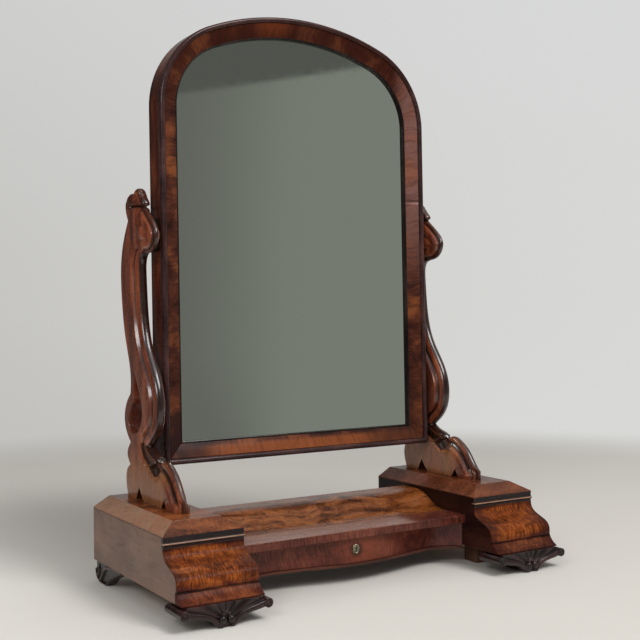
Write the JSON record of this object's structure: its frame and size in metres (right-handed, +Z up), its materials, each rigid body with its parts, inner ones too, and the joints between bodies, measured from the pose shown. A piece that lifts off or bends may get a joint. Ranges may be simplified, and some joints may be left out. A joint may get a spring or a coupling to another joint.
{
  "type": "vanity mirror with drawer",
  "caption": "Free-standing dressing-table swing mirror: arched mahogany frame between carved scroll supports on two ogee-fronted pedestals joined by a platform with a serpentine drawer.",
  "frame": {"origin": "on the floor under the middle of the object's box, where the feet stand", "axes": "+X to the right as the user faces the mirror, +Y to the back, +Z up; the drawer opens towards -Y"},
  "size_m": [0.715, 0.3632, 0.9473],
  "materials": {
    "flame_veneer": "French-polished flame mahogany veneer",
    "side_veneer": "French-polished straight-grained mahogany veneer",
    "carved_mahogany": "dark polished solid mahogany",
    "pine": "stained, unpolished pine",
    "oak": "waxed oak linings",
    "brass": "aged brass",
    "screw_steel": "dull steel",
    "mirror_plate": "silvered plate glass"
  },
  "bodies": {
    "base": {"drawer_stops": "pine", "left_base_splay": "flame_veneer", "left_block_feet": "pine", "left_case_back": "pine", "left_case_bottom": "pine", "left_drawer_guide": "pine", "left_fascia_moulding": "carved_mahogany", "left_front_bracket_foot": "carved_mahogany", "left_inner_side": "side_veneer", "left_lid": "flame_veneer", "left_ogee_front": "flame_veneer", "left_outer_side": "side_veneer", "left_pivot_bush": "brass", "left_scroll_foot": "carved_mahogany", "left_support": "carved_mahogany", "platform_back": "pine", "platform_bottom": "pine", "platform_front_rail": "side_veneer", "platform_top": "flame_veneer", "right_base_splay": "flame_veneer", "right_block_feet": "pine", "right_case_back": "pine", "right_case_bottom": "pine", "right_drawer_guide": "pine", "right_fascia_moulding": "carved_mahogany", "right_front_bracket_foot": "carved_mahogany", "right_inner_side": "side_veneer", "right_lid": "flame_veneer", "right_ogee_front": "flame_veneer", "right_outer_side": "side_veneer", "right_pivot_bush": "brass", "right_scroll_foot": "carved_mahogany", "right_support": "carved_mahogany", "support_screws": "screw_steel"},
    "mirror": {"backboard_screws": "screw_steel", "glazing_blocks": "pine", "left_pivot_pin": "brass", "mirror_arch": "side_veneer", "mirror_backboard": "pine", "mirror_bottom_rail": "side_veneer", "mirror_glass": "mirror_plate", "mirror_left_stile": "side_veneer", "mirror_outer_bead": "carved_mahogany", "mirror_right_stile": "side_veneer", "mirror_sight_bead": "carved_mahogany", "mirror_veneer_band": "flame_veneer", "pivot_plate_screws": "screw_steel", "pivot_plates": "brass", "right_pivot_pin": "brass"},
    "drawer": {"drawer_back": "oak", "drawer_bottom": "oak", "drawer_front": "flame_veneer", "escutcheon": "brass", "left_drawer_side": "oak", "lock_case": "brass", "lock_screws": "screw_steel", "right_drawer_side": "oak"},
    "lock_bolt": {"lock_bolt": "brass"}
  },
  "joints": [
    {"name": "mirror_swing", "type": "hinge", "parent": "base", "child": "mirror", "pos_m": [0, 0.10845, 0.564], "axis": [1, 0, 0], "range_deg": [-75, 75]},
    {"name": "drawer_slide", "type": "slide", "parent": "base", "child": "drawer", "axis": [0, -1, 0], "range_m": [0, 0.11]},
    {"name": "lock_bolt_throw", "type": "slide", "parent": "drawer", "child": "lock_bolt", "axis": [0, 0, 1], "range_m": [0, 0.005]}
  ]
}
